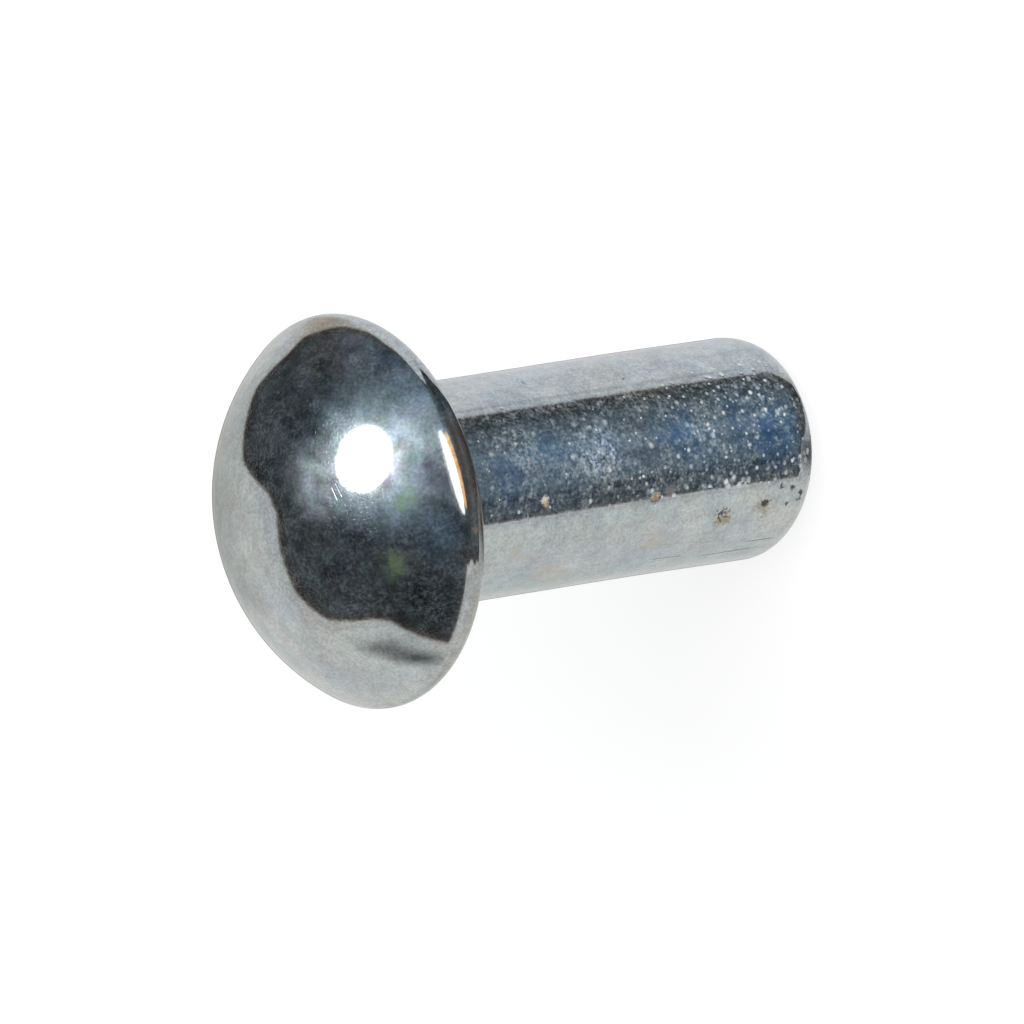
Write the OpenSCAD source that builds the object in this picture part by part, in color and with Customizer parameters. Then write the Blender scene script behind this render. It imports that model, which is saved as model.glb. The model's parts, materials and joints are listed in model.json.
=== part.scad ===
// Round head rivet, solid, cold headed from one piece of wire.
// The rivet stands on the flat end of its shank, with the head on top.

/* [Shank] */
// Diameter of the shank
shank_d = 8; // [5:0.5:10]
// Length of the shank, from its end to the underside of the head
shank_len = 18; // [8:1:60]
// Radius that rounds the edge of the shank's end
end_round = 1.6; // [0.1:0.1:2]
// Radius of the fillet where the shank runs into the head
neck_fillet = 0.4; // [0.1:0.1:0.6]

/* [Head] */
// Diameter of the head
head_d = 14.2; // [13:0.1:20]
// Height of the head, from its underside to the top of the dome
head_h = 4.8; // [2.5:0.1:6]
// Radius that rounds the rim of the head
rim_round = 0.6; // [0.1:0.1:0.7]

/* [Hidden] */

shank_r = shank_d / 2;
head_r = head_d / 2;

// The rim is a small circle that rests on the underside of the head.
rim_x = head_r - rim_round;
rim_y = rim_round;

// The dome is a circle about dome_y on the axis. It passes through the top of the head and
// holds the rim circle inside it, so the two touch without a crease.
rim_drop = head_h - rim_round;
dome_r = (rim_x * rim_x + rim_drop * rim_drop - rim_round * rim_round) / (2 * (rim_drop - rim_round));
dome_y = head_h - dome_r;

// Where the line from the centre of the dome to the centre of the rim crosses the underside.
seat_x = rim_x * dome_y / (dome_y - rim_y);

// Anything longer than the section is wide, for the shapes that cut it.
reach = 4 * (head_d + head_h);

// Half of the shank's section, with the end at the bottom and the underside of the head at y = 0.
module shank_section() {
    translate([0, end_round - shank_len])
        square([shank_r, shank_len - end_round]);
    translate([0, -shank_len])
        square([shank_r - end_round, end_round]);
    translate([shank_r - end_round, end_round - shank_len])
        intersection() {
            circle(end_round);
            translate([0, -end_round])
                square(end_round);
        }
}

// The web of metal that fills the corner between the shank and the head.
module neck_section() {
    difference() {
        translate([shank_r, -neck_fillet])
            square(neck_fillet);
        translate([shank_r + neck_fillet, -neck_fillet])
            circle(neck_fillet);
    }
}

// Half of the head's section: the sector under the dome, and the round rim beside it.
module head_section() {
    intersection() {
        translate([0, dome_y])
            circle(dome_r);
        polygon([[0, 0], [seat_x, 0], [reach * rim_x, dome_y + reach * (rim_y - dome_y)], [0, reach * dome_r]]);
    }
    intersection() {
        translate([rim_x, rim_y])
            circle(rim_round);
        polygon([[rim_x, rim_y], [rim_x, -reach], [reach * rim_x, -reach],
                 [reach * rim_x, dome_y + reach * (rim_y - dome_y)]]);
    }
    polygon([[seat_x, 0], [rim_x, 0], [rim_x, rim_y]]);
}

module rivet() {
    color([0.72, 0.75, 0.77])
        translate([0, 0, shank_len])
            rotate_extrude($fn = 180) {
                shank_section();
                neck_section();
                head_section();
            }
}

rivet();
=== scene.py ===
"""The looks of the round head rivet: bright zinc plate, an uneven head and a drawn, pitted shank.

Lengths are in millimetres until they reach Blender, which works in metres.
"""

import json
import math

import bpy
from mathutils import Matrix, Vector


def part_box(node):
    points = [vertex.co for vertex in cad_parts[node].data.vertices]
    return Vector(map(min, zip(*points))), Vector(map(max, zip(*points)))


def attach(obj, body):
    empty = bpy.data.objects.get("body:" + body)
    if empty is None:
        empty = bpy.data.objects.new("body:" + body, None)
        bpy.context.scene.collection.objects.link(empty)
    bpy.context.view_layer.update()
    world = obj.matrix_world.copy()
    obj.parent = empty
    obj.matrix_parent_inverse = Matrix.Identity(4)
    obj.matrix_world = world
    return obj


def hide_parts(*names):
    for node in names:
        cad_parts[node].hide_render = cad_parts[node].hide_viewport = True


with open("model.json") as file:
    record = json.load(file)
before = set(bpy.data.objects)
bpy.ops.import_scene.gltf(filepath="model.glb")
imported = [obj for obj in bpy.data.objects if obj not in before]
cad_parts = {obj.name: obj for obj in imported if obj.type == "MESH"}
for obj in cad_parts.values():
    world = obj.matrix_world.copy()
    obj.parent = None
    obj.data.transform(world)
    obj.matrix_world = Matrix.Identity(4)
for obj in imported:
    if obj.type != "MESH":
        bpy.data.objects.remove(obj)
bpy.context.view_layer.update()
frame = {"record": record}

MM = 0.001

# ---------------------------------------------------------------- sizes, from the frame

mounts = {mount["name"]: mount for mount in frame["record"]["mounts"]}
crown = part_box("rivet")[1] / MM

SHANK_R = mounts["shank"]["dims"]["r_mm"]
SHANK_LEN = mounts["bearing_face"]["pos_m"][2] / MM
HEAD_R = crown.x
HEAD_H = crown.z - SHANK_LEN
END_ROUND = 1.6
NECK_FILLET = 0.4
RIM_ROUND = 0.6
HEAD_SINK = 0.08  # this head was struck a little deeper than its nominal height

# The dome is a circle through the top of the head that holds the rim's small circle inside it.
# Heights are from the nominal underside of the head.
RIM_X = HEAD_R - RIM_ROUND
RIM_Y = RIM_ROUND - HEAD_SINK
RIM_DROP = HEAD_H - RIM_Y
DOME_R = (RIM_X**2 + RIM_DROP**2 - RIM_ROUND**2) / (2 * (RIM_DROP - RIM_ROUND))
DOME_Y = HEAD_H - DOME_R
RIM_ANGLE = math.atan2(RIM_Y - DOME_Y, RIM_X)

# ---------------------------------------------------------------- the camera's view

LOOK_DOWN = math.radians(36.7)  # how far above the horizon the camera stands
# How far the rivet's axis climbs across the picture, from the head to the shank's end.
LEAN = math.radians(9.1)

TOWARDS_CAMERA = Vector((0, -math.cos(LOOK_DOWN), math.sin(LOOK_DOWN)))
UPHILL = Vector((0, math.sin(LOOK_DOWN), math.cos(LOOK_DOWN)))
SIDEWAYS = Vector((1, 0, 0))
PICTURE_RIGHT = -math.sin(LEAN) * SIDEWAYS - math.cos(LEAN) * UPHILL
PICTURE_UP = math.cos(LEAN) * SIDEWAYS - math.sin(LEAN) * UPHILL

PICTURE_SIDE = 1024  # pixels
PIXELS_PER_MM = 28.125
SEAT_PIXEL = (366, 505.3)  # where the middle of the head's underside lies in the picture
LENS = 1200
SENSOR = 36


def set_camera():
    """A long lens, so that the shank's edges stay parallel."""
    centre = PICTURE_SIDE / 2
    aim = Vector((0, 0, SHANK_LEN))
    aim += (centre - SEAT_PIXEL[0]) / PIXELS_PER_MM * PICTURE_RIGHT
    aim += (SEAT_PIXEL[1] - centre) / PIXELS_PER_MM * PICTURE_UP
    picture_width = PICTURE_SIDE / PIXELS_PER_MM
    distance = picture_width * LENS / SENSOR
    place = (aim + distance * TOWARDS_CAMERA) * MM
    axes = Matrix((PICTURE_RIGHT, PICTURE_UP, TOWARDS_CAMERA)).transposed()
    camera = bpy.data.cameras.new("Camera")
    camera.lens = LENS
    camera.sensor_width = SENSOR
    camera.clip_start = 0.01
    camera.clip_end = 10
    holder = bpy.data.objects.new("Camera", camera)
    holder.matrix_world = Matrix.Translation(place) @ axes.to_4x4()
    bpy.context.scene.collection.objects.link(holder)
    bpy.context.scene.camera = holder


# ---------------------------------------------------------------- formulas in node trees


class Field:
    """A node's output that can be used in arithmetic, like a number."""

    def __init__(self, graph, socket):
        self.graph = graph
        self.socket = socket

    def __add__(self, other):
        return self.graph.math("ADD", self, other)

    def __radd__(self, other):
        return self.graph.math("ADD", other, self)

    def __sub__(self, other):
        return self.graph.math("SUBTRACT", self, other)

    def __rsub__(self, other):
        return self.graph.math("SUBTRACT", other, self)

    def __mul__(self, other):
        return self.graph.math("MULTIPLY", self, other)

    def __rmul__(self, other):
        return self.graph.math("MULTIPLY", other, self)

    def __truediv__(self, other):
        return self.graph.math("DIVIDE", self, other)


class Graph:
    """Adds nodes to a tree of any kind, so that a formula in it reads as one."""

    def __init__(self, tree):
        self.tree = tree

    def node(self, kind, values=(), **settings):
        """A node with these settings. values maps its inputs, by name or number, to values."""
        made = self.tree.nodes.new(kind)
        for name, setting in settings.items():
            setattr(made, name, setting)
        for name, value in dict(values).items():
            self.feed(made.inputs[name], value)
        return made

    def feed(self, socket, value):
        if isinstance(value, Field):
            self.tree.links.new(value.socket, socket)
        elif isinstance(value, bpy.types.NodeSocket):
            self.tree.links.new(value, socket)
        else:
            socket.default_value = value

    def field(self, kind, values=(), output=0, **settings):
        return Field(self, self.node(kind, values, **settings).outputs[output])

    def math(self, operation, *values):
        return self.field("ShaderNodeMath", enumerate(values), operation=operation)

    def vector(self, operation, *values, output=0):
        return self.field("ShaderNodeVectorMath", enumerate(values), output, operation=operation)

    def scale(self, vector, factor):
        values = {"Vector": vector, "Scale": factor}
        return self.field("ShaderNodeVectorMath", values, operation="SCALE")

    def dot(self, a, b):
        return self.vector("DOT_PRODUCT", a, b, output="Value")

    def distance(self, a, b):
        return self.vector("DISTANCE", a, b, output="Value")

    def length(self, vector):
        return self.vector("LENGTH", vector, output="Value")

    def split(self, vector):
        parts = self.node("ShaderNodeSeparateXYZ", {"Vector": vector})
        return [Field(self, parts.outputs[axis]) for axis in "XYZ"]

    def join(self, x, y, z):
        return self.field("ShaderNodeCombineXYZ", {"X": x, "Y": y, "Z": z})

    def ramp(self, value, start, end, low=0.0, high=1.0):
        """low at start, high at end, and a smooth change between them."""
        return self.field(
            "ShaderNodeMapRange",
            {0: value, 1: start, 2: end, 3: low, 4: high},
            interpolation_type="SMOOTHSTEP",
        )

    def mix(self, share, a, b):
        """Colour a, turning to colour b as share goes from 0 to 1."""
        return self.field("ShaderNodeMix", {0: share, 6: a, 7: b}, 2, data_type="RGBA")

    def noise(self, place, grain, seed, detail=2.0, output=0):
        """Clouds about as wide as grain, in the unit of place, from 0 to 1."""
        return self.field(
            "ShaderNodeTexNoise",
            {"Vector": self.scale(place, 1.0 / grain), "W": seed, "Scale": 1.0, "Detail": detail},
            output,
            noise_dimensions="4D",
        )

    def cells(self, place, grain):
        """Cells about as wide as grain. Gives the place in units of grain, and the node."""
        spread = self.scale(place, 1.0 / grain)
        return spread, self.node("ShaderNodeTexVoronoi", {"Vector": spread, "Scale": 1.0}).outputs


def empty_graph(owner):
    """The node tree of a material or world, emptied."""
    owner.use_nodes = True
    owner.node_tree.nodes.clear()
    return Graph(owner.node_tree)


# ---------------------------------------------------------------- the rivet's form


def point_line(graph, start, end, count):
    line = graph.node("GeometryNodeCurvePrimitiveLine", {"Start": start, "End": end})
    points = graph.node("GeometryNodeResampleCurve", {"Curve": line.outputs[0], "Count": count})
    return points.outputs[0]


def point_arc(graph, centre, radius, start, sweep, count):
    arc = graph.node(
        "GeometryNodeCurveArc",
        {"Resolution": count, "Radius": radius, "Start Angle": start, "Sweep Angle": sweep},
    )
    placed = graph.node(
        "GeometryNodeTransform", {"Geometry": arc.outputs[0], "Translation": centre}
    )
    return placed.outputs[0]


SIZES = {
    "Shank radius": SHANK_R,
    "Shank length": SHANK_LEN,
    "End rounding": END_ROUND,
    "Neck fillet": NECK_FILLET,
    "Rim centre": RIM_X,
    "Rim height": RIM_Y,
    "Rim rounding": RIM_ROUND,
    "Rim angle": RIM_ANGLE,
    "Dome radius": DOME_R,
    "Dome centre": DOME_Y,
    "Head sink": HEAD_SINK,
    "Head lean": 0.0234,  # mm of lean for each mm
    "Head offset": -0.14,
    "End slope": 0.055,  # the wire was cut a little off square
    "End rise": 0.14,
    "End offset": -0.06,
    "Waviness": 0.009,
    "Groove depth": 0.0009,
    "Seed": 3.0,
}
COUNTS = {
    "Columns": 320,
    "Dome rows": 84,
    "Rim rows": 26,
    "Underside rows": 8,
    "Fillet rows": 8,
    "Shank rows": 152,
    "End rows": 22,
    "Flat rows": 8,
}

# Where the small errors of the form act, in mm.
HEAD_BLEND = (0.9, 0.1)  # the head's own shift starts and is full so far under the bearing face
END_REACH = 3.0  # the sloped end is felt so far up the shank
SHIFT_REACH = 8.0  # and the end's shift so far
WAVE = 3.4  # width of the soft waves
GROOVE = 0.32  # width of the drawing grooves
GROOVE_SQUEEZE = 0.03  # how slowly their pattern changes along the shank
PIT_GRAIN = 0.12  # width of the ragged places of a pit's edge
PIT_RAGGED = 0.08  # how far they reach in and out
WELD = 2e-7  # metres, closes the seam

# Corrosion pits: the place of each on the surface, its radius and its depth.
PITS = [
    ((-2.28, -3.28, 4.82), 0.26, 0.07),
    ((-2.17, -3.36, 2.97), 0.16, 0.05),
    ((-1.94, -3.41, 1.40), 0.16, 0.05),
    ((-1.73, -3.60, 1.81), 0.14, 0.04),
    ((-1.63, -3.65, 2.32), 0.12, 0.03),
    ((-2.29, -3.28, 1.95), 0.12, 0.03),
    ((-1.34, -3.77, 8.05), 0.18, 0.03),
    ((3.02, -2.62, 7.80), 0.12, 0.03),
    ((3.40, -2.11, 11.75), 0.14, 0.02),
]


def half_section(graph, size, count):
    """The rivet's half section in arcs and lines, from the top of the dome to the shank's end."""
    shank_r = size["Shank radius"]
    length = size["Shank length"]
    end_r = size["End rounding"]
    neck_r = size["Neck fillet"]
    seat = size["Head sink"] * -1
    quarter = math.pi / 2

    def at(x, y):
        return graph.join(x, y, 0.0)

    dome = point_arc(
        graph,
        at(0.0, size["Dome centre"]),
        size["Dome radius"],
        quarter,
        size["Rim angle"] - quarter,
        count["Dome rows"],
    )
    rim = point_arc(
        graph,
        at(size["Rim centre"], size["Rim height"]),
        size["Rim rounding"],
        size["Rim angle"],
        -quarter - size["Rim angle"],
        count["Rim rows"],
    )
    underside = point_line(
        graph,
        at(size["Rim centre"], seat),
        at(shank_r + neck_r, seat),
        count["Underside rows"],
    )
    fillet = point_arc(
        graph,
        at(shank_r + neck_r, seat - neck_r),
        neck_r,
        quarter,
        quarter,
        count["Fillet rows"],
    )
    side = point_line(
        graph,
        at(shank_r, seat - neck_r),
        at(shank_r, end_r - length),
        count["Shank rows"],
    )
    corner = point_arc(
        graph, at(shank_r - end_r, end_r - length), end_r, 0.0, -quarter, count["End rows"]
    )
    flat = point_line(
        graph, at(shank_r - end_r, length * -1), at(0.0, length * -1), count["Flat rows"]
    )
    joined = graph.node("GeometryNodeJoinGeometry")
    # The piece that is linked last comes first.
    for piece in (flat, corner, side, fillet, underside, rim, dome):
        graph.tree.links.new(piece, joined.inputs[0])
    return joined.outputs[0]


def settle(graph, size, place):
    """Leans and shifts the struck head, and slopes the cut end."""
    x, y, z = graph.split(place)
    length = size["Shank length"]
    head = graph.ramp(z, length - HEAD_BLEND[0], length - HEAD_BLEND[1])
    end = graph.ramp(z, END_REACH, 0.0)
    lean = size["Head lean"]
    across = x + head * (size["Head offset"] - lean * (z - length))
    across = across + graph.ramp(z, SHIFT_REACH, 0.0) * size["End offset"]
    along = z + head * lean * x + end * (size["End rise"] - size["End slope"] * x)
    return graph.join(across, y, along)


def relief(graph, size, place):
    """How far the skin stands out, in mm: soft waves, drawing grooves on the shank, and pits."""
    x, y, z = graph.split(place)
    seed = size["Seed"]
    waves = (graph.noise(place, WAVE, seed, 1.0) - 0.5) * size["Waviness"] * 2
    along_shank = graph.ramp(z, size["Shank length"] - 0.4, size["Shank length"] - 1.2)
    drawn = graph.noise(graph.join(x, y, z * GROOVE_SQUEEZE), GROOVE, seed + 5, 3.0) - 0.5
    height = waves + drawn * along_shank * size["Groove depth"] * 2
    ragged = graph.noise(place, PIT_GRAIN, seed + 9) * (2 * PIT_RAGGED) - PIT_RAGGED
    for centre, radius, depth in PITS:
        away = graph.distance(place, centre) + ragged
        height = height - graph.ramp(away, radius, radius * 0.2, 0.0, depth)
    return height


def form_tree():
    """Turns the half section about the rivet's axis, and gives the skin its uneven places."""
    tree = bpy.data.node_groups.new("Rivet form", "GeometryNodeTree")
    for name in SIZES:
        tree.interface.new_socket(name, in_out="INPUT", socket_type="NodeSocketFloat")
    for name in COUNTS:
        tree.interface.new_socket(name, in_out="INPUT", socket_type="NodeSocketInt")
    tree.interface.new_socket("Finish", in_out="INPUT", socket_type="NodeSocketMaterial")
    tree.interface.new_socket("Rivet", in_out="OUTPUT", socket_type="NodeSocketGeometry")
    graph = Graph(tree)
    given = graph.node("NodeGroupInput").outputs
    size = {name: Field(graph, given[name]) for name in SIZES}
    count = {name: Field(graph, given[name]) for name in COUNTS}

    section = half_section(graph, size, count)
    rows = graph.field(
        "GeometryNodeAttributeDomainSize", {0: section}, "Point Count", component="CURVE"
    )
    columns = count["Columns"]
    grid = graph.node("GeometryNodeMeshGrid", {"Vertices X": columns + 1, "Vertices Y": rows})
    index = graph.field("GeometryNodeInputIndex")
    turn = graph.math("FLOOR", index / rows) / columns * math.tau
    station = graph.field(
        "GeometryNodeSampleIndex",
        {
            "Geometry": section,
            "Value": graph.field("GeometryNodeInputPosition"),
            "Index": graph.math("MODULO", index, rows),
        },
        data_type="FLOAT_VECTOR",
        domain="POINT",
    )
    radius, height, _ = graph.split(station)
    place = graph.join(
        radius * graph.math("COSINE", turn),
        radius * graph.math("SINE", turn),
        height + size["Shank length"],
    )
    turned = graph.node(
        "GeometryNodeSetPosition",
        {
            "Geometry": grid.outputs["Mesh"],
            "Position": graph.scale(settle(graph, size, place), MM),
        },
    )
    closed = graph.node(
        "GeometryNodeMergeByDistance", {"Geometry": turned.outputs[0], "Distance": WELD}
    )
    outward = graph.node("GeometryNodeFlipFaces", {"Mesh": closed.outputs[0]})
    skin = graph.scale(graph.field("GeometryNodeInputPosition"), 1 / MM)
    worn = graph.node(
        "GeometryNodeSetPosition",
        {
            "Geometry": outward.outputs[0],
            "Offset": graph.scale(
                graph.field("GeometryNodeInputNormal"), relief(graph, size, skin) * MM
            ),
        },
    )
    smooth = graph.node("GeometryNodeSetShadeSmooth", {"Geometry": worn.outputs[0]})
    whole = graph.node("GeometryNodeRealizeInstances", {"Geometry": smooth.outputs[0]})
    finished = graph.node(
        "GeometryNodeSetMaterial", {"Geometry": whole.outputs[0], "Material": given["Finish"]}
    )
    graph.node("NodeGroupOutput", {"Rivet": finished.outputs[0]})
    return tree


def make_piece(name, tree, values):
    """An object whose mesh is what the tree makes with these inputs."""
    piece = bpy.data.objects.new(name, bpy.data.meshes.new(name))
    bpy.context.scene.collection.objects.link(piece)
    modifier = piece.modifiers.new(tree.name, "NODES")
    modifier.node_group = tree
    for item in tree.interface.items_tree:
        if item.in_out == "INPUT" and item.name in values:
            modifier[item.identifier] = values[item.name]
    seen = piece.evaluated_get(bpy.context.evaluated_depsgraph_get())
    mesh = bpy.data.meshes.new_from_object(seen)
    piece.modifiers.remove(modifier)
    piece.data = mesh
    mesh.name = name
    return piece


# ---------------------------------------------------------------- the finish


# Rust and dirt: the place of each, its radius, its colour and how strongly it covers the zinc.
STAINS = [
    ((-2.46, -3.14, 4.72), 0.40, (0.46, 0.31, 0.08), 0.55),
    ((-2.28, -3.28, 4.82), 0.28, (0.13, 0.06, 0.01), 0.95),
    ((-2.36, -3.23, 3.05), 0.32, (0.40, 0.29, 0.10), 0.45),
    ((-2.17, -3.36, 2.97), 0.16, (0.05, 0.045, 0.03), 0.9),
    ((-1.94, -3.41, 1.40), 0.16, (0.07, 0.04, 0.03), 0.9),
    ((-1.73, -3.60, 1.81), 0.13, (0.04, 0.04, 0.03), 0.9),
    ((-1.63, -3.65, 2.32), 0.10, (0.05, 0.045, 0.04), 0.8),
    ((-2.29, -3.28, 1.95), 0.10, (0.05, 0.05, 0.04), 0.7),
    ((-2.18, -3.28, 1.43), 0.12, (0.06, 0.05, 0.04), 0.7),
    ((-1.34, -3.77, 8.05), 0.23, (0.55, 0.27, 0.03), 0.85),
    ((-1.20, -3.82, 7.40), 0.20, (0.16, 0.07, 0.03), 0.6),
    ((3.02, -2.62, 7.80), 0.10, (0.12, 0.12, 0.13), 0.8),
    ((3.40, -2.11, 11.75), 0.13, (0.16, 0.15, 0.15), 0.6),
    ((-0.82, -3.91, 13.04), 0.19, (0.98, 0.93, 0.75), 0.9),
    ((-0.96, -3.88, 13.00), 0.12, (0.75, 0.55, 0.20), 0.7),
    ((-1.49, -6.96, 18.50), 0.17, (0.16, 0.06, 0.035), 0.85),
    ((-2.20, -5.02, 20.72), 0.60, (0.34, 0.42, 0.20), 0.12),
    ((-0.04, -5.71, 20.47), 0.40, (0.30, 0.40, 0.20), 0.08),
]
# Tarnish: the place of each cloud, its radius, its tint and its strength.
TARNISH = [
    ((-0.04, -5.71, 20.47), 0.7, (0.50, 0.68, 0.36), 0.65),
    ((-2.20, -5.02, 20.72), 0.8, (0.62, 0.88, 0.44), 0.8),
    ((-2.87, -2.79, 7.49), 0.9, (0.66, 0.60, 0.50), 0.5),
    ((-2.61, -3.03, 13.86), 0.8, (0.62, 0.60, 0.50), 0.6),
    ((-3.51, -1.92, 11.64), 0.9, (0.60, 0.58, 0.50), 0.6),
    ((-3.25, -2.33, 12.57), 0.6, (0.66, 0.60, 0.50), 0.6),
    ((0.6, -6.6, 19.5), 0.9, (0.55, 0.60, 0.75), 0.5),
    ((4.5, 0.4, 21.3), 1.2, (0.62, 0.60, 0.60), 0.5),
    ((0.37, -3.98, 2.75), 1.9, (0.24, 0.42, 0.68), 0.8),
    ((1.65, -3.64, 4.04), 1.2, (0.36, 0.48, 0.68), 0.6),
    ((0.81, -3.92, 6.66), 1.4, (0.30, 0.50, 0.72), 0.7),
    ((0.08, -4.00, 14.50), 1.3, (0.38, 0.46, 0.68), 0.6),
    ((1.03, -3.86, 12.40), 1.2, (0.38, 0.58, 0.74), 0.6),
]
# Frost clouds on the shank: the place of each, its radius and its strength.
FROSTED = [
    ((0.45, -3.97, 10.36), 1.5, 1.8),
    ((1.05, -3.86, 13.70), 1.1, 0.8),
    ((0.09, -4.00, 12.00), 1.1, 0.5),
    ((0.47, -3.97, 5.40), 0.9, 0.5),
    ((1.54, -3.69, 13.60), 0.8, 0.4),
    ((1.40, -3.74, 5.80), 0.9, 0.3),
    ((-0.64, -3.95, 15.20), 0.8, 0.4),
]
# Scratches: the two ends of each and its half width.
SCRATCHES = [
    ((0.86, -3.50, 21.94), (0.30, -3.68, 21.90), 0.035),
    ((0.95, -3.66, 21.87), (0.42, -3.86, 21.82), 0.03),
    ((-3.68, -1.62, 5.30), (-3.66, -1.72, 2.20), 0.055),
    ((-3.42, -2.13, 3.40), (-3.44, -2.12, 1.70), 0.05),
    ((-3.50, -1.93, 7.60), (-3.56, -1.84, 5.60), 0.045),
]

# Colours of the finish.
ZINC = (0.60, 0.65, 0.69, 1)
GREYER_ZINC = (0.65, 0.67, 0.67, 1)
FROST = (0.82, 0.88, 0.88, 1)
BLUE_FROST = (0.50, 0.67, 0.92, 1)
TEAL_FROST = (0.54, 0.82, 0.92, 1)
SPECK_WHITE = (0.97, 0.98, 1.0, 1)
# Painted shade: the brown-dark colour laid over the rounding of the head's rim.
RIM_SHADE_COLOUR = (0.19, 0.12, 0.08, 1)

# Cells of the finish: about how wide each kind is, in mm.
FLAKE = 0.15
SPECK = 0.27
TUFT = 0.55
FACET = 0.13

# Heights of the fine relief, in mm.
FACET_RELIEF = 0.001
GRAIN_RELIEF = 0.0006
DRAWN_RELIEF = 0.0005
SPECK_RELIEF = 0.008
SCRATCH_DEPTH = 0.012

# The shank's frosted side, in mm of x: the specks fade out between the two values of each edge.
LOWER_EDGE = (-1.8, -1.2)
SPECKS_UPPER_EDGE = (3.3, 2.5)
TUFTS_UPPER_EDGE = (2.6, 1.8)


class Skin:
    """A point of the rivet's surface, in mm, and the clouds and grains of its finish."""

    def __init__(self, graph):
        self.graph = graph
        self.place = graph.scale(graph.field("ShaderNodeTexCoord", output="Object"), 1 / MM)
        self.x, self.y, self.z = graph.split(self.place)
        self.on_shank = graph.ramp(self.z, SHANK_LEN, SHANK_LEN - 1.0)
        # Each noise has the width of its grains in mm, its seed and, where it isn't 2, its detail.
        self.clouds = self.noise(1.0, 11.0, 3.0)
        self.patches = self.noise(0.45, 16.0, 3.0)
        self.grain = self.noise(0.115, 13.0)
        drawn_out = graph.join(self.x, self.y, self.z * 0.04)
        self.drawn = graph.noise(drawn_out, 0.2, 14.0)
        drift = (self.patches - 0.5) * 2.0 + (self.clouds - 0.5) * 0.8
        self.drift = drift + (self.grain - 0.5) * 0.8

    def noise(self, grain, seed, detail=2.0):
        return self.graph.noise(self.place, grain, seed, detail)

    def away(self, centre, radius, ragged):
        """How far the point is from a spot's centre. ragged makes the spot's edge uneven."""
        return self.graph.distance(self.place, centre) + ragged * radius


def frost_clumps(skin):
    """How thickly the frost lies here."""
    graph = skin.graph
    clumps = graph.ramp(skin.clouds * 0.5 + skin.patches * 0.5, 0.38, 0.62, 0.25, 0.8)
    for centre, radius, strength in FROSTED:
        away = skin.away(centre, radius, skin.drift)
        clumps = clumps + graph.ramp(away, radius, 0.0, 0.0, strength)
    return clumps


def frost(skin, clumps):
    """Fine pale grains in clumps, bluish in places. Gives how much they cover, and their colour."""
    graph = skin.graph
    _, crystal = graph.cells(skin.place, FLAKE)
    lit, tinted, _ = graph.split(crystal["Color"])
    flakes = graph.ramp(Field(graph, crystal["Distance"]), 0.8, 0.1) * lit * lit
    powder = graph.ramp(skin.grain * 0.55 + skin.noise(0.3, 18.0) * 0.45, 0.40, 0.65)
    grains = flakes * (skin.on_shank * 0.9 + 0.1) + powder * (skin.on_shank * -0.1 + 1.0)
    cover = grains * clumps * (skin.on_shank * 0.32 + 0.12)
    blue = graph.mix(graph.ramp(skin.patches, 0.4, 0.6), BLUE_FROST, TEAL_FROST)
    bluish = graph.ramp(skin.noise(1.3, 15.0) + tinted * 0.2, 0.5, 0.7)
    return cover, graph.mix(bluish, FROST, blue)


def round_specks(skin):
    """Round crystals that catch the light, crowded towards the shank's end and its lower side."""
    graph = skin.graph
    near_end = graph.ramp(skin.z, 10.5, 3.5)
    _, speck = graph.cells(skin.place, SPECK)
    pick, share, shine = graph.split(speck["Color"])
    low_side = graph.ramp(graph.math("ABSOLUTE", skin.x + 0.8), 0.6, 0.2)
    low_side = low_side * graph.ramp(skin.z, 10.0, 8.5)
    crowd = near_end * 0.8 + (skin.clouds - 0.5) * 1.1 * skin.on_shank + low_side * 0.4 + 0.12
    crowd = crowd * skin.on_shank
    crowd = crowd * graph.ramp(skin.x, *SPECKS_UPPER_EDGE) * graph.ramp(skin.x, *LOWER_EDGE)
    there = graph.ramp(pick + crowd, 0.99, 1.01)
    radius = there * (share * share * 0.3 + low_side * 0.1 + near_end * 0.04 + 0.2)
    specks = graph.ramp(Field(graph, speck["Distance"]), radius, radius * 0.3)
    return specks * (shine * 0.6 + 0.4)


def frost_tufts(skin, clumps):
    """Larger soft spots in the thickest frost of the shank."""
    graph = skin.graph
    _, tuft = graph.cells(skin.place, TUFT)
    pick, _, _ = graph.split(tuft["Color"])
    tufts = graph.ramp(Field(graph, tuft["Distance"]), 0.3, 0.06)
    tufts = tufts * graph.ramp(pick + clumps * 0.5, 0.9, 1.1) * skin.on_shank
    return tufts * graph.ramp(skin.x, *TUFTS_UPPER_EDGE) * graph.ramp(skin.x, *LOWER_EDGE)


def scratch_marks(skin):
    """1 along the middle of each scratch, 0 beside it."""
    graph = skin.graph
    scratched = 0.0
    for start, finish, half_width in SCRATCHES:
        middle = [(a + b) / 2 for a, b in zip(start, finish)]
        run = math.dist(start, finish)
        along = [(b - a) / run for a, b in zip(start, finish)]
        offset = graph.vector("SUBTRACT", skin.place, middle)
        reached = graph.math("ABSOLUTE", graph.dot(offset, along))
        beside = graph.length(graph.vector("CROSS_PRODUCT", offset, along))
        cut = graph.ramp(reached, run / 2, run / 4) * graph.ramp(beside, half_width, 0.0)
        scratched = scratched + cut
    return scratched


def painted_rim_shade(skin):
    """Painted shade in the rounding of the head's rim: how much it darkens there, most on one side.
    """
    graph = skin.graph
    above_seat = skin.z - skin.x * SIZES["Head lean"] - SHANK_LEN
    rim_shade = graph.ramp(above_seat, 0.86, 0.66) * graph.ramp(above_seat, -0.3, 0.0)
    return rim_shade * graph.ramp(skin.x, -3.0, 0.5, 0.2, 0.75) * graph.ramp(skin.x, 3.0, 2.2)


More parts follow.
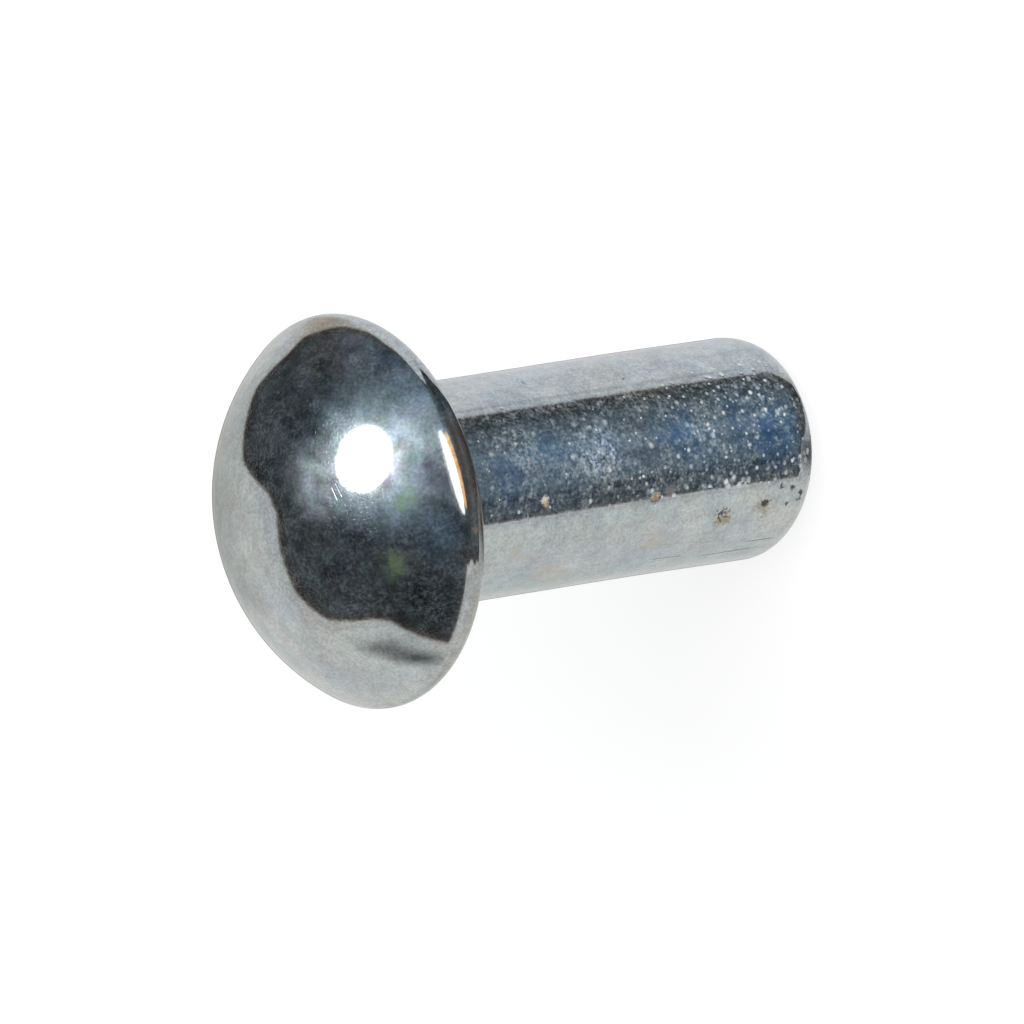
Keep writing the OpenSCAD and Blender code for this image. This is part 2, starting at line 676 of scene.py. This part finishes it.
def bare_zinc(skin, scratched, rim_shade):
    """The colour of the plate between frost and stains, with painted shade on the head's rim."""
    graph = skin.graph
    zinc = graph.mix(graph.ramp(skin.noise(2.2, 12.0), 0.35, 0.65), ZINC, GREYER_ZINC)
    uneven = graph.ramp(skin.grain, 0.3, 0.7, 0.84, 1.1)
    uneven = uneven * graph.ramp(skin.patches, 0.3, 0.7, 0.9, 1.07)
    uneven = uneven * (graph.ramp(skin.drawn, 0.3, 0.7, -0.05, 0.03) * skin.on_shank + 1.0)
    uneven = uneven * graph.ramp(skin.noise(1.6, 19.0), 0.35, 0.65, 0.93, 1.07)
    zinc = graph.scale(zinc, uneven)
    for centre, radius, tint, strength in TARNISH:
        away = skin.away(centre, radius, skin.drift)
        zinc = graph.mix(graph.ramp(away, radius, 0.0, 0.0, strength), zinc, (*tint, 1))
    zinc = graph.scale(zinc, scratched * skin.on_shank * -0.6 + 1.0)
    # Painted shade darkens the rounding of the head's rim.
    return graph.mix(rim_shade, zinc, RIM_SHADE_COLOUR)


def fine_relief(skin, specks, scratched):
    """Crystal faces, grain, drawn lines, specks and scratches, in mm. The rim is smoother."""
    graph = skin.graph
    spread, facet = graph.cells(skin.place, FACET)
    slope = graph.vector("SUBTRACT", facet["Color"], (0.5, 0.5, 0.5))
    step = graph.vector("SUBTRACT", spread, facet["Position"])
    facets = graph.dot(slope, step) * FACET_RELIEF + skin.grain * GRAIN_RELIEF
    burnished = graph.ramp(graph.length(graph.join(skin.x, skin.y, 0.0)), 4.6, 5.8)
    on_head = graph.ramp(skin.z, SHANK_LEN - 0.5, SHANK_LEN, 0.0, -0.85)
    facets = facets * (burnished * on_head + 1.0)
    height = facets + skin.drawn * skin.on_shank * DRAWN_RELIEF + specks * SPECK_RELIEF
    return height - scratched * SCRATCH_DEPTH


def zinc_plate():
    """Bright zinc: smooth, bluish, frosted in fine grains, with specks towards the shank's end."""
    material = bpy.data.materials.new("Bright zinc plate")
    graph = empty_graph(material)
    skin = Skin(graph)
    clumps = frost_clumps(skin)
    frosted, bloom = frost(skin, clumps)
    specks = round_specks(skin)
    pale = graph.math("MINIMUM", frosted + specks * 0.95 + frost_tufts(skin, clumps) * 0.5, 1.0)
    scratched = scratch_marks(skin)
    # How much painted shade darkens the head's rim.
    rim_shade = painted_rim_shade(skin)

    colour = bare_zinc(skin, scratched, rim_shade)
    colour = graph.mix(pale, colour, graph.mix(specks, bloom, SPECK_WHITE))
    # The painted shade on the rim also makes it less metallic.
    metal = (pale * -1 + 1.0) * (rim_shade * -0.25 + 1.0)
    dull = skin.clouds * 0.03 + skin.on_shank * 0.02 + 0.06
    ragged = (skin.patches - 0.5) * 2.0 + (skin.grain - 0.5) * 2.4
    for centre, radius, stain_colour, strength in STAINS:
        away = skin.away(centre, radius, ragged)
        stained = graph.ramp(away, radius * 1.1, radius * 0.35, 0.0, strength)
        colour = graph.mix(stained, colour, (*stain_colour, 1))
        metal = metal * (stained * -1 + 1.0)
        dull = dull + stained * 0.4

    height = fine_relief(skin, specks, scratched) * MM
    bump = graph.field("ShaderNodeBump", {"Height": height, "Distance": 1.0, "Strength": 1.0})
    surface = graph.node(
        "ShaderNodeBsdfPrincipled",
        {"Base Color": colour, "Metallic": metal, "Roughness": dull, "Normal": bump},
    )
    graph.node("ShaderNodeOutputMaterial", {"Surface": surface.outputs[0]})
    return material


# ---------------------------------------------------------------- the studio

# Colours of the tent and of the opening.
DARKNESS = (0.045, 0.055, 0.06)
BORDER_DARKNESS = (0.042, 0.028, 0.022, 1)
BORDER_FRINGE = (0.22, 0.15, 0.10, 1)
WARM_TENT = (0.70, 0.70, 0.67, 1)
COOL_TENT = (0.715, 0.725, 0.735, 1)
TAN = (0.50, 0.43, 0.35, 1)
WHITE = (1, 1, 1, 1)

# How far the dark opening of the white tent reaches from the camera's direction, in degrees, for
# each bearing in the picture: 0 is right, 90 is up, -90 is down and 180 is left.
OPENING = [
    (-180, 97),
    (-173, 92),
    (-164, 95),
    (-146, 99),
    (-137, 96),
    (-132, 93),
    (-119, 75),
    (-112, 72),
    (-87, 80),
    (-80, 59),
    (-74, 45),
    (-69, 38),
    (-55, 40),
    (-42, 48),
    (-33, 64),
    (-25, 74),
    (-22, 83),
    (-20, 91),
    (-5, 90),
    (5, 98),
    (14, 135),
    (23, 155),
    (35, 145),
    (42, 128),
    (56, 106),
    (63, 103),
    (70, 97),
    (80, 68),
    (92, 65),
    (99, 70),
    (110, 88),
    (113, 99),
    (121, 117),
    (131, 131),
    (138, 130),
    (150, 137),
    (163, 128),
    (170, 122),
    (180, 97),
]

# Glows in the opening: the middle of each, right and up of the camera's direction, its half width
# and half height, all in degrees, and the light that it adds there.
GLOWS = [
    ("round lamp's soft edge", -34, 17, 29, 26, (1.2, 1.22, 1.2)),
    ("round lamp's halo", -40, 18, 44, 42, (0.35, 0.40, 0.43)),
    ("wide glow", -24, 28, 60, 58, (0.20, 0.28, 0.35)),
    ("glow above the lamp", -15, 35, 23, 20, (0.27, 0.27, 0.24)),
    ("glow left of the lamp", -64, 10, 25, 28, (0.42, 0.46, 0.49)),
    ("glow right of the lamp", -6, 12, 16, 24, (0.09, 0.07, 0.08)),
    ("blue corner", -35, 85, 40, 26, (0.0, 0.02, 0.05)),
    ("high glow", -55, 84, 36, 26, (0.07, 0.06, 0.055)),
    ("blue below the lamps", 0, -22, 20, 20, (0.015, 0.035, 0.06)),
    ("shank's side", 72, 28, 38, 72, (0.06, 0.095, 0.135)),
    ("under the camera", -15, -58, 45, 32, (-0.018, -0.021, -0.024)),
]
# Shades on the tent, given in the same way, as the share of its light that each takes.
SHADES = [
    ("smudge", -30, -85, 26, 10, 0.72),
    ("smudge's tail", -14, -91, 26, 8, 0.85),
    ("left side", -157, -8, 56, 150, 0.34),
    ("low left", -124, -66, 32, 32, 0.14),
    ("beside the shank's end", 130, 0, 68, 38, 0.92),
    ("behind the shank's end", 165, 8, 50, 50, 0.6),
]


def opening_limit(graph, bearing):
    """How far the opening reaches at this bearing, in degrees."""
    outline = graph.node("ShaderNodeFloatCurve", {"Value": bearing / 360 + 0.5})
    points = outline.mapping.curves[0].points
    while len(points) < len(OPENING):
        points.new(0.5, 0.5)
    for point, (turn, limit) in zip(points, OPENING):
        point.location = (turn / 360 + 0.5, limit / 180)
        point.handle_type = "VECTOR"
    outline.mapping.update()
    return Field(graph, outline.outputs[0]) * 180


class Ray:
    """A direction seen from the rivet. Its angles are in degrees from the camera's direction."""

    def __init__(self, graph):
        self.graph = graph
        self.direction = graph.field("ShaderNodeTexCoord", output="Generated")
        self.right = graph.dot(self.direction, PICTURE_RIGHT)
        up = graph.dot(self.direction, PICTURE_UP)
        near = graph.dot(self.direction, TOWARDS_CAMERA)
        self.reach = graph.math("DEGREES", graph.math("ARCCOSINE", near))
        bearing = graph.math("DEGREES", graph.math("ARCTAN2", up, self.right))
        self.beyond = self.reach - opening_limit(graph, bearing)
        sideways = graph.vector("NORMALIZE", graph.join(self.right, up, 0.0))
        self.flat = graph.scale(sideways, self.reach)

    def patch(self, right, up, half_width, half_height):
        """1 in the middle of an ellipse in the flat map of directions, and 0 from its edge on."""
        graph = self.graph
        offset = graph.vector("SUBTRACT", self.flat, (right, up, 0))
        reduced = graph.vector("DIVIDE", offset, (half_width, half_height, 1))
        return graph.ramp(graph.length(reduced), 1.0, 0.0)


def opening_light(ray):
    """The dark room in the opening, mottled, with a glow around its lamps and a darker border."""
    graph = ray.graph
    dark = DARKNESS
    for _, right, up, half_width, half_height, glow in GLOWS:
        share = ray.patch(right, up, half_width, half_height)
        dark = graph.vector("ADD", dark, graph.scale(glow, share))
    mottle = graph.noise(ray.flat, 8.0, 4.0, 3.0, output="Color")
    mottle = graph.vector("MULTIPLY_ADD", mottle, (0.45, 0.45, 0.45), (-1.63, -1.63, -1.63))
    mottle = graph.vector("ADD", mottle, graph.noise(ray.flat, 9.0, 5.0, 3.0) * 2.0)
    mottle = graph.vector("ADD", mottle, graph.noise(ray.flat, 25.0, 7.0) * 2.8)
    dark = graph.vector("MULTIPLY", dark, mottle)
    return graph.mix(graph.ramp(ray.beyond, -9.0, -2.0) * 0.65, dark, BORDER_DARKNESS)


def tent_light(ray):
    """The white cloth: uneven in colour, with a crease along the opening, shades and folds."""
    graph = ray.graph
    across, above, _ = graph.split(ray.flat)
    cool = graph.ramp(across, -80.0, 0.0) * graph.ramp(above, -60.0, 60.0)
    tent = graph.mix(cool, WARM_TENT, COOL_TENT)
    tent = graph.mix(ray.patch(-72, 108, 34, 26), tent, TAN)
    level = graph.ramp(ray.beyond, 0.0, 24.0, 0.85, 1.0)
    level = level * graph.ramp(ray.reach, 169.0, 174.0, 1.0, 0.4)
    crease = graph.ramp(ray.beyond, 6.5, 9.0) * graph.ramp(ray.beyond, 12.0, 9.5)
    crease = crease * graph.ramp(ray.right, 0.12, 0.35)
    level = level * (crease * -0.25 + 1.0)
    for _, right, up, half_width, half_height, taken in SHADES:
        level = level * (ray.patch(right, up, half_width, half_height) * -taken + 1.0)
    folds = graph.noise(ray.direction, 0.3, 6.0, 3.0, output="Color")
    folds = graph.vector("MULTIPLY_ADD", folds, (0.14, 0.12, 0.13), (0.83, 0.84, 0.835))
    folds = graph.vector("ADD", folds, graph.noise(ray.direction, 0.5, 8.0) * 0.2)
    return graph.vector("MULTIPLY", graph.scale(tent, level), folds)


def studio_world():
    """A white tent with a dark opening for the metal to reflect. The camera sees plain white."""
    world = bpy.data.worlds.new("Studio")
    bpy.context.scene.world = world
    graph = empty_graph(world)
    world.cycles.sampling_method = "NONE"  # as clean for this light, and faster
    ray = Ray(graph)

    def shine(colour):
        return graph.field("ShaderNodeBackground", {"Color": colour, "Strength": 1.0})

    def blend(share, a, b):
        return graph.field("ShaderNodeMixShader", {0: share, 1: a, 2: b})

    # Blending lights instead of colours is faster: Cycles then works out only what it needs.
    in_tent = graph.ramp(ray.beyond, -0.7, 0.7)
    seen = blend(in_tent, shine(opening_light(ray)), shine(tent_light(ray)))
    fringe = graph.ramp(ray.beyond, -1.5, -0.2) * graph.ramp(ray.beyond, 1.6, 0.4)
    seen = blend(fringe * 0.45, seen, shine(BORDER_FRINGE))
    to_camera = graph.field("ShaderNodeLightPath", output="Is Camera Ray")
    graph.node("ShaderNodeOutputWorld", {"Surface": blend(to_camera, seen, shine(WHITE))})


LAMP_DISTANCE = 0.4  # metres


def lamp(
    name,
    right,
    up,
    half_width,
    half_height,
    shape,
    radiance,
    turn=0,
    colour=(1, 1, 1),
    reflected=True,
):
    """A flat round lamp, so many degrees right and up of the camera, as seen from the rivet."""
    away = math.radians(math.hypot(right, up))
    across = (right * PICTURE_RIGHT + up * PICTURE_UP).normalized()
    direction = math.cos(away) * TOWARDS_CAMERA + math.sin(away) * across
    width = 2 * LAMP_DISTANCE * math.tan(math.radians(half_width))
    height = 2 * LAMP_DISTANCE * math.tan(math.radians(half_height))
    area = width * height * (math.pi / 4)
    light = bpy.data.lights.new(name, "AREA")
    light.shape = shape
    light.size = width
    if shape == "ELLIPSE":
        light.size_y = height
    light.energy = radiance * math.pi * area
    light.color = colour
    holder = bpy.data.objects.new(name, light)
    side = PICTURE_UP.cross(direction).normalized()
    top = direction.cross(side)
    turn = math.radians(turn)
    axes = Matrix(
        (
            math.cos(turn) * side + math.sin(turn) * top,
            math.cos(turn) * top - math.sin(turn) * side,
            direction,
        )
    ).transposed()
    seat = Vector((0, 0, SHANK_LEN)) * MM
    holder.matrix_world = Matrix.Translation(seat + LAMP_DISTANCE * direction) @ axes.to_4x4()
    holder.visible_camera = False
    holder.visible_glossy = reflected
    bpy.context.scene.collection.objects.link(holder)


FLOOR_SIDE = 2.0  # metres
FLOOR_GREY = (0.3, 0.3, 0.3, 1)
FLOOR_GLOW = 0.82  # how much of its white the camera sees whatever the light


def lay_floor():
    """A white floor that the metal doesn't reflect, because the tent stands for it there."""
    half = FLOOR_SIDE / 2
    corners = [(-half, -half, 0), (half, -half, 0), (half, half, 0), (-half, half, 0)]
    mesh = bpy.data.meshes.new("Floor")
    mesh.from_pydata(corners, [], [(0, 1, 2, 3)])
    floor = bpy.data.objects.new("Floor", mesh)
    bpy.context.scene.collection.objects.link(floor)
    floor.visible_glossy = False
    material = bpy.data.materials.new("White floor")
    graph = empty_graph(material)
    paint = graph.node("ShaderNodeBsdfDiffuse", {"Color": FLOOR_GREY})
    to_camera = graph.field("ShaderNodeLightPath", output="Is Camera Ray")
    glow = to_camera * FLOOR_GLOW
    white = graph.node("ShaderNodeEmission", {"Color": WHITE, "Strength": glow})
    shown = graph.node("ShaderNodeAddShader", {0: paint.outputs[0], 1: white.outputs[0]})
    graph.node("ShaderNodeOutputMaterial", {"Surface": shown.outputs[0]})
    mesh.materials.append(material)


# ---------------------------------------------------------------- putting it together

bpy.context.scene.view_settings.view_transform = "Standard"
set_camera()
studio_world()
lamp("Round lamp", -39.4, 18.4, 14.6, 15.8, "ELLIPSE", 3.0)
lamp("Strip lamp", 6.2, 11.5, 1.8, 22, "ELLIPSE", 2.6, turn=15.5)
lamp("Warm strip lamp", 10.4, 13.0, 5.0, 20, "ELLIPSE", 1.1, turn=15.5, colour=(1.0, 0.50, 0.12))
lamp("Fill lamp", 0, 10, 25, 25, "DISK", 3.0, reflected=False)
lay_floor()

given_values = {**SIZES, **COUNTS, "Finish": zinc_plate()}
rivet = make_piece("plated_rivet", form_tree(), given_values)
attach(rivet, "root")
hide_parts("rivet")
